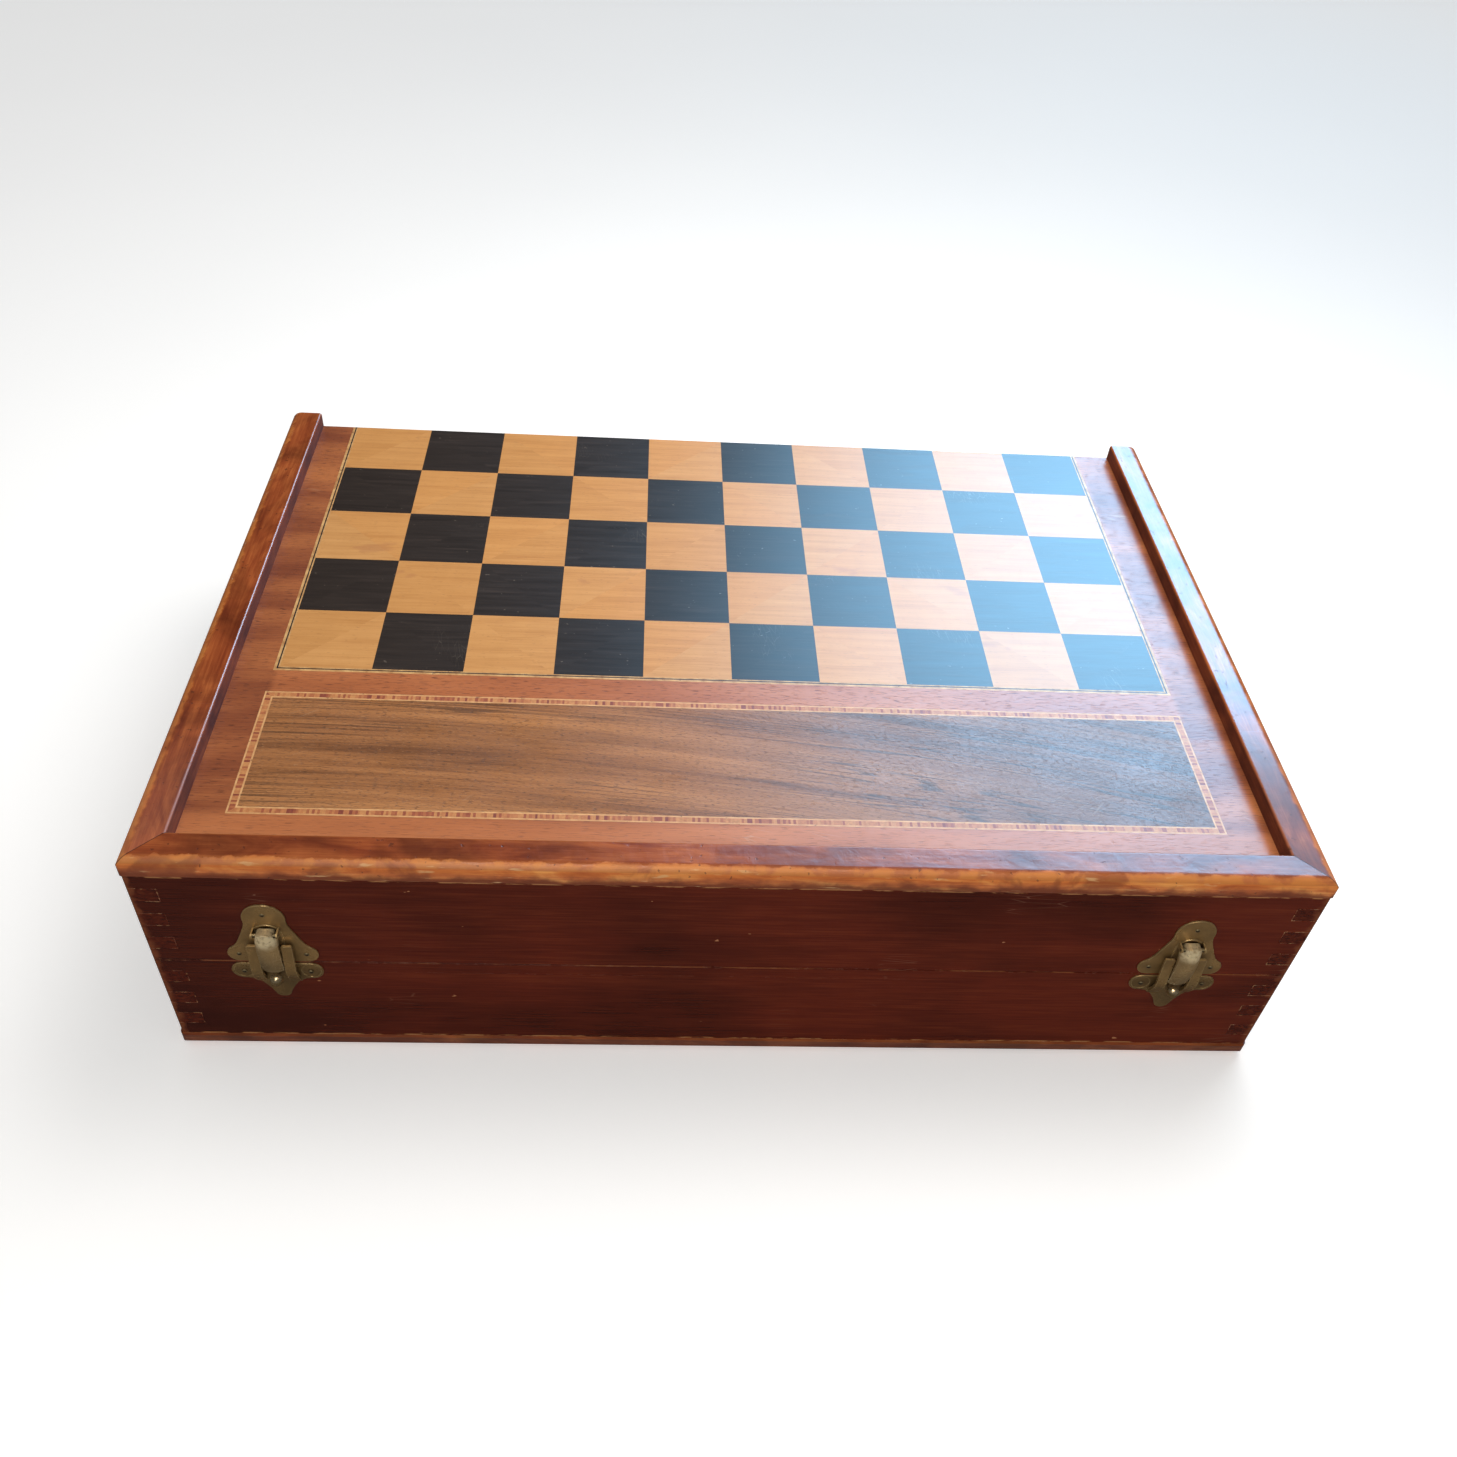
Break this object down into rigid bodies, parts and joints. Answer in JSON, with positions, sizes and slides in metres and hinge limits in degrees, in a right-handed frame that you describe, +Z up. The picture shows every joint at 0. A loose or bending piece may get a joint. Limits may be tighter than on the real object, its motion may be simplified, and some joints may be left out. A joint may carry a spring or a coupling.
{
  "type": "folding wooden games box",
  "caption": "Hinged wooden games box with half a draughts board inlaid on each outer face, jacquet trays inside, three-sided edge rails and brass latches.",
  "frame": {"origin": "centre of the footprint, on the plane of the lower rails' faces that the closed box rests on", "axes": "+X along the box, +Y from the latches at the front to the hinges at the back, +Z up"},
  "size_m": [0.448, 0.3128, 0.1156],
  "materials": {
    "box_mahogany": "dark red-brown lacquer over mahogany, glossy and scratched",
    "rail_mahogany": "red-brown lacquer, worn to orange wood on the round edges",
    "plywood": "bare plywood",
    "maple": "lacquered maple veneer, yellowed",
    "ebonised_wood": "black-stained veneer under lacquer",
    "maple_line": "light stringing line",
    "ebonised_line": "black stringing line",
    "mahogany_veneer": "lacquered mahogany crossbanding",
    "banding": "inlaid banding of red and tan blocks",
    "walnut": "lacquered walnut veneer with dark wavy figure",
    "tray_mahogany": "satin mahogany veneer",
    "tray_maple": "satin maple veneer",
    "tray_dark_wood": "satin black-stained veneer",
    "latch_brass": "aged pressed brass, dull olive with bright worn crests",
    "hinge_brass": "aged brass",
    "screw_steel": "dull steel"
  },
  "bodies": {
    "lower_half": {"lower_front_wall": "box_mahogany", "lower_back_wall": "box_mahogany", "lower_left_wall": "box_mahogany", "lower_right_wall": "box_mahogany", "lower_board": "plywood", "lower_front_rail": "rail_mahogany", "lower_left_rail": "rail_mahogany", "lower_right_rail": "rail_mahogany", "lower_light_squares": "maple", "lower_dark_squares": "ebonised_wood", "lower_light_stringing": "maple_line", "lower_dark_stringing": "ebonised_line", "lower_crossband": "mahogany_veneer", "lower_banding_lines": "maple_line", "lower_banding_blocks": "banding", "lower_walnut_panel": "walnut", "lower_tray_floor": "tray_mahogany", "lower_light_points": "tray_maple", "lower_dark_points": "tray_dark_wood", "left_hinge_lower_leaf": "hinge_brass", "left_hinge_pin": "hinge_brass", "left_latch_lower_plate": "latch_brass", "left_latch_stud": "latch_brass", "right_hinge_lower_leaf": "hinge_brass", "right_hinge_pin": "hinge_brass", "right_latch_lower_plate": "latch_brass", "right_latch_stud": "latch_brass", "lower_hinge_screws": "screw_steel", "lower_latch_nails": "latch_brass"},
    "upper_half": {"upper_front_wall": "box_mahogany", "upper_back_wall": "box_mahogany", "upper_left_wall": "box_mahogany", "upper_right_wall": "box_mahogany", "upper_board": "plywood", "upper_front_rail": "rail_mahogany", "upper_left_rail": "rail_mahogany", "upper_right_rail": "rail_mahogany", "upper_light_squares": "maple", "upper_dark_squares": "ebonised_wood", "upper_light_stringing": "maple_line", "upper_dark_stringing": "ebonised_line", "upper_crossband": "mahogany_veneer", "upper_banding_lines": "maple_line", "upper_banding_blocks": "banding", "upper_walnut_panel": "walnut", "upper_tray_floor": "tray_mahogany", "upper_light_points": "tray_maple", "upper_dark_points": "tray_dark_wood", "left_hinge_upper_leaf": "hinge_brass", "left_latch_upper_plate": "latch_brass", "left_latch_pin": "latch_brass", "right_hinge_upper_leaf": "hinge_brass", "right_latch_upper_plate": "latch_brass", "right_latch_pin": "latch_brass", "upper_hinge_screws": "screw_steel", "upper_latch_nails": "latch_brass"},
    "left_latch_tongue": {"left_latch_tongue": "latch_brass"},
    "right_latch_tongue": {"right_latch_tongue": "latch_brass"}
  },
  "joints": [
    {"name": "lid_hinge", "type": "hinge", "parent": "lower_half", "child": "upper_half", "pos_m": [0, 0.152, 0.0578], "axis": [-1, 0, 0], "range_deg": [0, 180]},
    {"name": "left_tongue_pivot", "type": "hinge", "parent": "upper_half", "child": "left_latch_tongue", "pos_m": [-0.177, -0.15535, 0.0784], "axis": [-1, 0, 0], "range_deg": [0, 80]},
    {"name": "right_tongue_pivot", "type": "hinge", "parent": "upper_half", "child": "right_latch_tongue", "pos_m": [0.177, -0.15535, 0.0784], "axis": [-1, 0, 0], "range_deg": [0, 80]}
  ]
}
